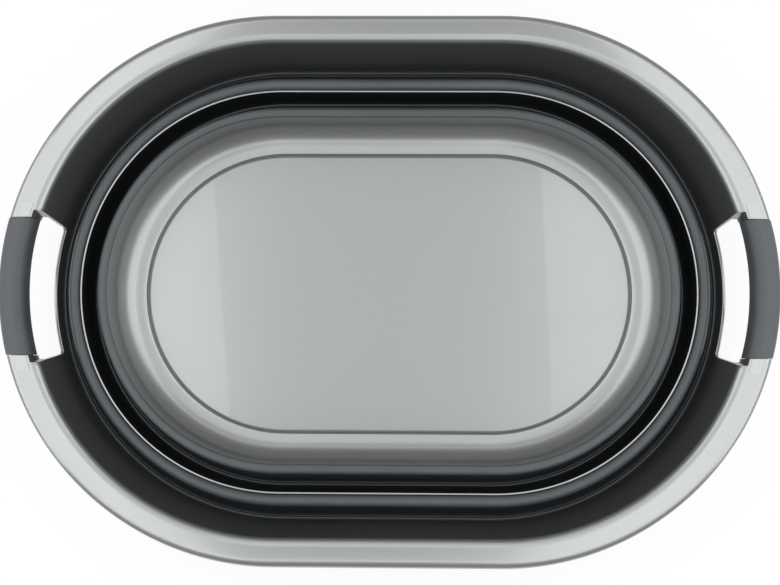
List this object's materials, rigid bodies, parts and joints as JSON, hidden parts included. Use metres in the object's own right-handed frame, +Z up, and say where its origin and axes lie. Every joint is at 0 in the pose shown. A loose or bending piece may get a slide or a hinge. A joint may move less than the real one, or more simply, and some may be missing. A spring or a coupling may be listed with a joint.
{
  "type": "collapsible camp washbasin",
  "caption": "Oval collapsible washbasin with rigid rim, middle ring and base tray, soft folding bands and soft-grip carrying handles, stored folded flat",
  "frame": {"origin": "centre of the tub's footprint, on the surface that it stands on", "axes": "X along the tub's length through both carrying handles, Y across it, Z up"},
  "size_m": [0.646, 0.4592, 0.08],
  "materials": {
    "silver_plastic": "silver pigmented polypropylene, satin gloss",
    "slate_grip": "soft slate grey elastomer, matt",
    "slate_elastomer": "slate grey elastomer, satin",
    "foot_rubber": "matt rubber"
  },
  "bodies": {
    "base": {"base_tray": "silver_plastic", "lower_bellows": "slate_elastomer", "foot_front_left": "foot_rubber", "foot_front_right": "foot_rubber", "foot_back_left": "foot_rubber", "foot_back_right": "foot_rubber"},
    "middle": {"middle_ring": "silver_plastic", "upper_bellows": "slate_elastomer"},
    "rim": {"rim_ring": "silver_plastic", "grip_left": "slate_grip", "grip_right": "slate_grip"}
  },
  "joints": [
    {"name": "mid_lift", "type": "slide", "parent": "base", "child": "middle", "axis": [0, 0, 1], "range_m": [0, 0.09], "deforming": ["lower_bellows"]},
    {"name": "rim_lift", "type": "slide", "parent": "middle", "child": "rim", "axis": [0, 0, 1], "range_m": [0, 0.078], "deforming": ["upper_bellows"]}
  ]
}
